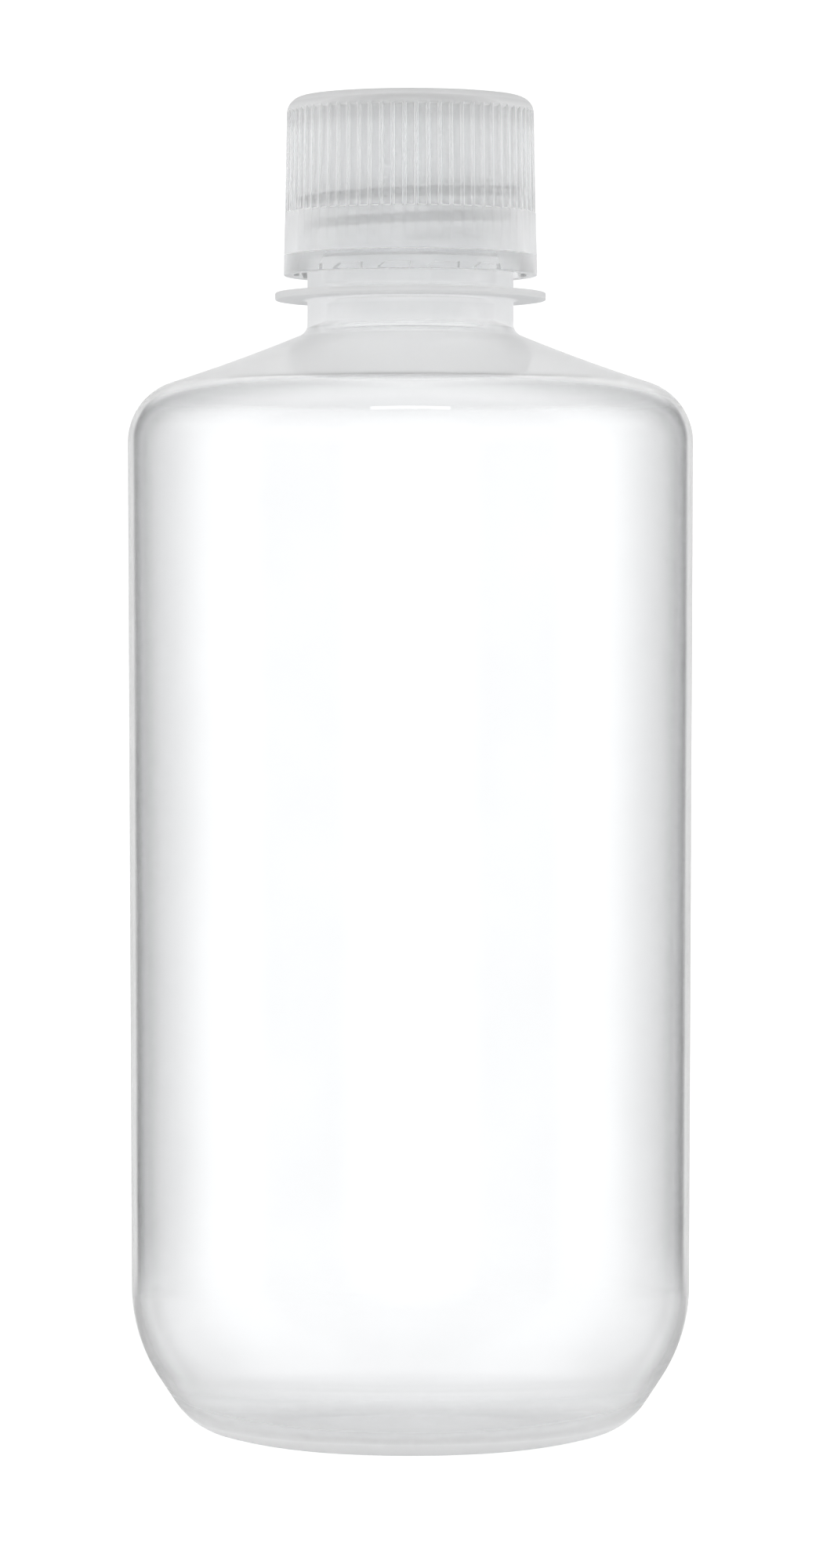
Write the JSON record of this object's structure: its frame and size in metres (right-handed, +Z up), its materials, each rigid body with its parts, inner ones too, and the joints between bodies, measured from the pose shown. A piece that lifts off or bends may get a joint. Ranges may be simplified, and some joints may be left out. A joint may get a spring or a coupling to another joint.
{
  "type": "reagent bottle",
  "caption": "Translucent plastic narrow-mouth reagent bottle with knurled screw cap, tamper-evident ring and sealing liner.",
  "frame": {"origin": "on the bottle's axis, in the plane that the bottle stands on", "axes": "+Z up along the bottle's axis, out of the mouth; the axes X and Y lie in the standing plane"},
  "size_m": [0.0918, 0.0918, 0.2192],
  "materials": {
    "bottle_pp": "smooth, translucent natural polypropylene",
    "cap_pp": "smooth, translucent natural polypropylene",
    "liner_pe": "matt, milky polyethylene",
    "ring_pp": "smooth, translucent natural polypropylene"
  },
  "bodies": {
    "bottle": {"bottle": "bottle_pp"},
    "liner": {"liner": "liner_pe"},
    "cap": {"cap": "cap_pp"},
    "tamper_ring": {"tamper_ring": "ring_pp"}
  },
  "joints": [
    {"name": "cap_lift", "type": "slide", "parent": "bottle", "child": "liner", "axis": [0, 0, 1], "range_m": [0, 0.03176]},
    {"name": "cap_turn", "type": "hinge", "parent": "liner", "child": "cap", "pos_m": [0, 0, 0.2], "axis": [0, 0, 1], "range_deg": [0, 2700]},
    {"name": "ring_drop", "type": "slide", "parent": "bottle", "child": "tamper_ring", "axis": [0, 0, 1], "range_m": [-0.00275, 0]}
  ],
  "couplings": [
    {"joint": "cap_lift", "follows": "cap_turn", "m_per_rad": 0.0006737}
  ]
}
